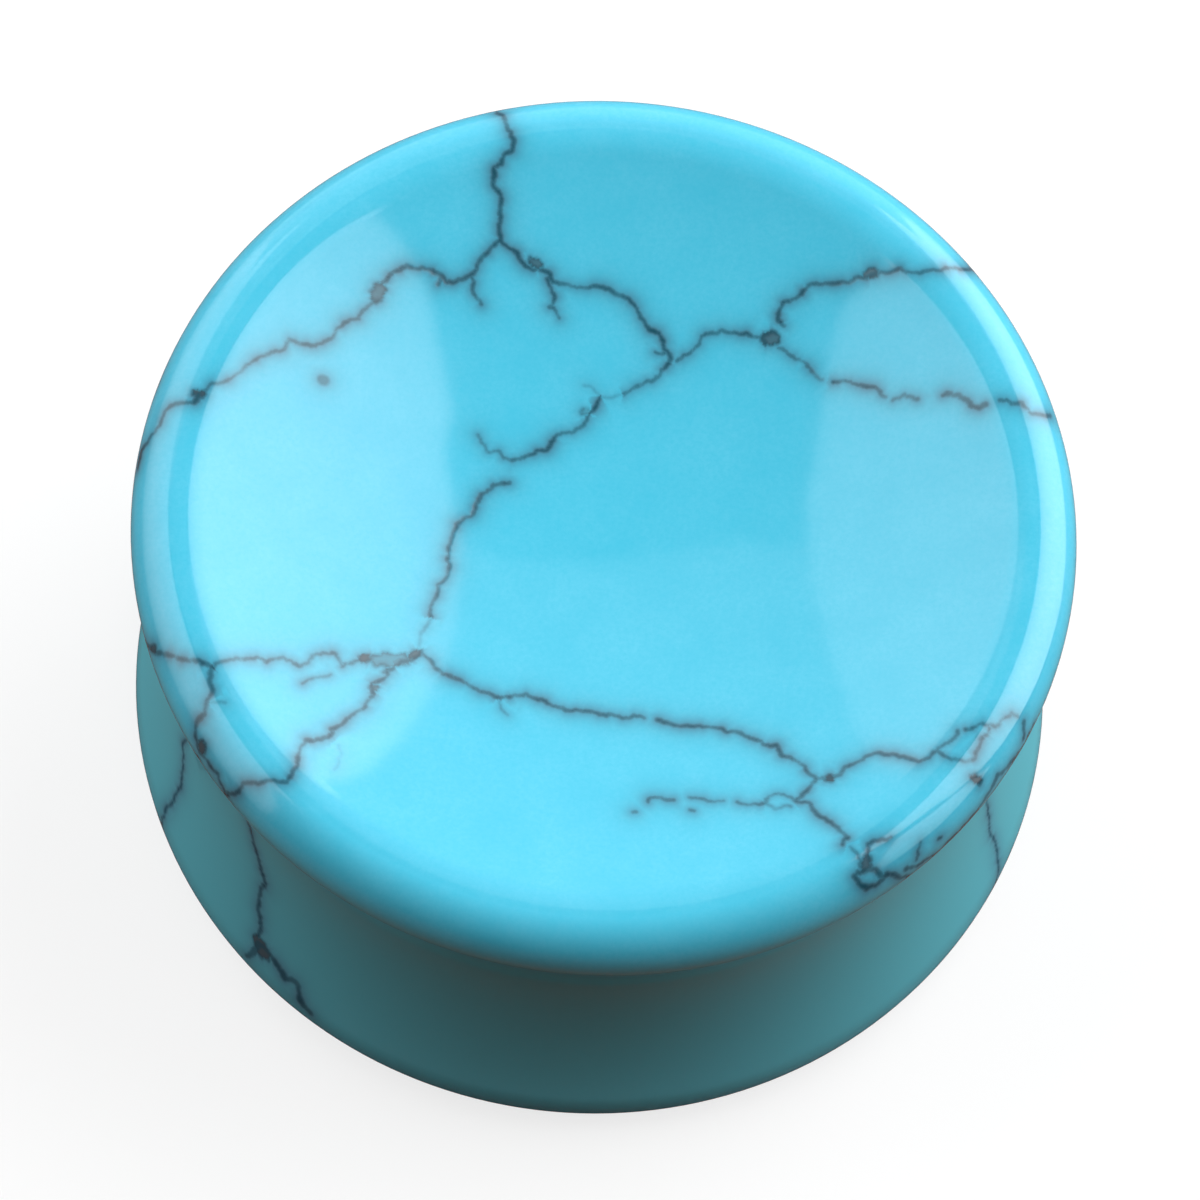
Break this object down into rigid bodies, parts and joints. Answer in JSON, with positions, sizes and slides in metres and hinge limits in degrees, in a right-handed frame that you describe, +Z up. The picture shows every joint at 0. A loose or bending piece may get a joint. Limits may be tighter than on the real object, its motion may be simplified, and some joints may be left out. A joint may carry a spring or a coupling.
{
  "type": "ear plug gauge",
  "caption": "Double-flared saddle ear plug of polished blue stone with dark veins, rounded flares and a shallow dish in each face.",
  "frame": {"origin": "centre of the plug on the plane it stands on, under its lower rim", "axes": "+Z up along the plug's axis, out of the upper face; X and Y across the plug, with -Y towards the viewer of the picture"},
  "size_m": [0.025, 0.025, 0.0128],
  "materials": {
    "stone": "polished"
  },
  "bodies": {
    "root": {"stone_plug": "stone"}
  },
  "joints": []
}
